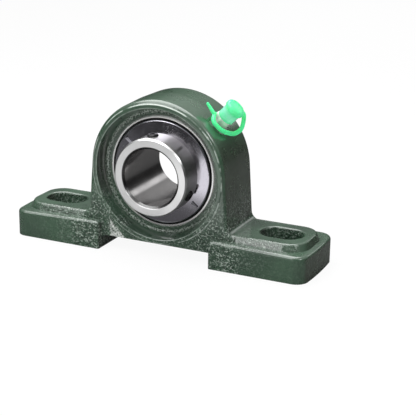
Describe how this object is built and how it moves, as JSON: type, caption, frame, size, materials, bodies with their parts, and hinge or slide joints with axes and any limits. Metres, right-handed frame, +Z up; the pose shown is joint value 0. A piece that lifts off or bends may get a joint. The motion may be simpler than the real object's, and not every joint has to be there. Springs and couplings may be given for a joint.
{
  "type": "pillow block bearing",
  "caption": "Cast pillow block with a self-aligning insert ball bearing for a 25 mm shaft, set screws, and a grease nipple under a green plastic cap.",
  "frame": {"origin": "centre of the two bolt slots, on the plane of the feet's underside, straight under the shaft axis", "axes": "+Z up, +X along the base towards the grease nipple's side, +Y along the shaft away from the set screws"},
  "size_m": [0.14, 0.0378, 0.0697],
  "materials": {
    "housing_paint": "gloss hammered enamel",
    "ring_steel": "ground",
    "ball_steel": "polished",
    "cage_steel": "pressed",
    "flinger_steel": "phosphated satin",
    "seal_rubber": "matt",
    "screw_steel": "black oxide",
    "nipple_zinc": "zinc plated",
    "cap_plastic": "gloss"
  },
  "bodies": {
    "housing": {"housing": "housing_paint", "grease_nipple": "nipple_zinc", "nipple_spring": "cage_steel"},
    "bearing": {"outer_ring": "ring_steel", "seal_front": "seal_rubber", "seal_rear": "seal_rubber"},
    "inner_ring": {"inner_ring": "ring_steel", "flinger_front": "flinger_steel", "flinger_rear": "flinger_steel"},
    "cage": {"cage_front": "cage_steel", "cage_rear": "cage_steel", "cage_rivets": "cage_steel"},
    "ball_1": {"ball_1": "ball_steel"},
    "ball_2": {"ball_2": "ball_steel"},
    "ball_3": {"ball_3": "ball_steel"},
    "ball_4": {"ball_4": "ball_steel"},
    "ball_5": {"ball_5": "ball_steel"},
    "ball_6": {"ball_6": "ball_steel"},
    "ball_7": {"ball_7": "ball_steel"},
    "ball_8": {"ball_8": "ball_steel"},
    "ball_9": {"ball_9": "ball_steel"},
    "set_screw_1": {"set_screw_1": "screw_steel"},
    "set_screw_2": {"set_screw_2": "screw_steel"},
    "nipple_ball": {"nipple_ball": "ball_steel"},
    "nipple_cap": {"nipple_cap": "cap_plastic"}
  },
  "joints": [
    {"name": "self_align", "type": "hinge", "parent": "housing", "child": "bearing", "pos_m": [0, 0, 0.0365], "axis": [1, 0, 0], "range_deg": [-2.5, 2.5]},
    {"name": "shaft_spin", "type": "hinge", "parent": "bearing", "child": "inner_ring", "pos_m": [0, 0, 0.0365], "axis": [0, 1, 0], "continuous": true},
    {"name": "cage_spin", "type": "hinge", "parent": "bearing", "child": "cage", "pos_m": [0, 0, 0.0365], "axis": [0, 1, 0], "continuous": true},
    {"name": "ball_1_roll", "type": "hinge", "parent": "cage", "child": "ball_1", "pos_m": [0, 0, 0.0561], "axis": [0, 1, 0], "continuous": true},
    {"name": "ball_2_roll", "type": "hinge", "parent": "cage", "child": "ball_2", "pos_m": [0.0126, 0, 0.05151], "axis": [0, 1, 0], "continuous": true},
    {"name": "ball_3_roll", "type": "hinge", "parent": "cage", "child": "ball_3", "pos_m": [0.0193, 0, 0.0399], "axis": [0, 1, 0], "continuous": true},
    {"name": "ball_4_roll", "type": "hinge", "parent": "cage", "child": "ball_4", "pos_m": [0.01697, 0, 0.0267], "axis": [0, 1, 0], "continuous": true},
    {"name": "ball_5_roll", "type": "hinge", "parent": "cage", "child": "ball_5", "pos_m": [0.0067, 0, 0.01808], "axis": [0, 1, 0], "continuous": true},
    {"name": "ball_6_roll", "type": "hinge", "parent": "cage", "child": "ball_6", "pos_m": [-0.0067, 0, 0.01808], "axis": [0, 1, 0], "continuous": true},
    {"name": "ball_7_roll", "type": "hinge", "parent": "cage", "child": "ball_7", "pos_m": [-0.01697, 0, 0.0267], "axis": [0, 1, 0], "continuous": true},
    {"name": "ball_8_roll", "type": "hinge", "parent": "cage", "child": "ball_8", "pos_m": [-0.0193, 0, 0.0399], "axis": [0, 1, 0], "continuous": true},
    {"name": "ball_9_roll", "type": "hinge", "parent": "cage", "child": "ball_9", "pos_m": [-0.0126, 0, 0.05151], "axis": [0, 1, 0], "continuous": true},
    {"name": "set_screw_1_drive", "type": "slide", "parent": "inner_ring", "child": "set_screw_1", "axis": [-0.0958, 0, 0.9954], "range_m": [-0.0025, 0.004]},
    {"name": "set_screw_2_drive", "type": "slide", "parent": "inner_ring", "child": "set_screw_2", "axis": [0.91, 0, -0.4147], "range_m": [-0.0025, 0.004]},
    {"name": "check_ball_lift", "type": "slide", "parent": "housing", "child": "nipple_ball", "axis": [0.7071, 0, 0.7071], "range_m": [-0.0006, 0], "stiffness_N_per_m": 200, "springref_m": 0.0005, "deforming": ["nipple_spring"]},
    {"name": "cap_pull", "type": "slide", "parent": "housing", "child": "nipple_cap", "axis": [0.7071, 0, 0.7071], "range_m": [0, 0.012]}
  ],
  "couplings": [
    {"joint": "cage_spin", "follows": "shaft_spin", "ratio": 0.39875},
    {"joint": "ball_1_roll", "follows": "shaft_spin", "ratio": -2.3679},
    {"joint": "ball_2_roll", "follows": "shaft_spin", "ratio": -2.3679},
    {"joint": "ball_3_roll", "follows": "shaft_spin", "ratio": -2.3679},
    {"joint": "ball_4_roll", "follows": "shaft_spin", "ratio": -2.3679},
    {"joint": "ball_5_roll", "follows": "shaft_spin", "ratio": -2.3679},
    {"joint": "ball_6_roll", "follows": "shaft_spin", "ratio": -2.3679},
    {"joint": "ball_7_roll", "follows": "shaft_spin", "ratio": -2.3679},
    {"joint": "ball_8_roll", "follows": "shaft_spin", "ratio": -2.3679},
    {"joint": "ball_9_roll", "follows": "shaft_spin", "ratio": -2.3679}
  ]
}
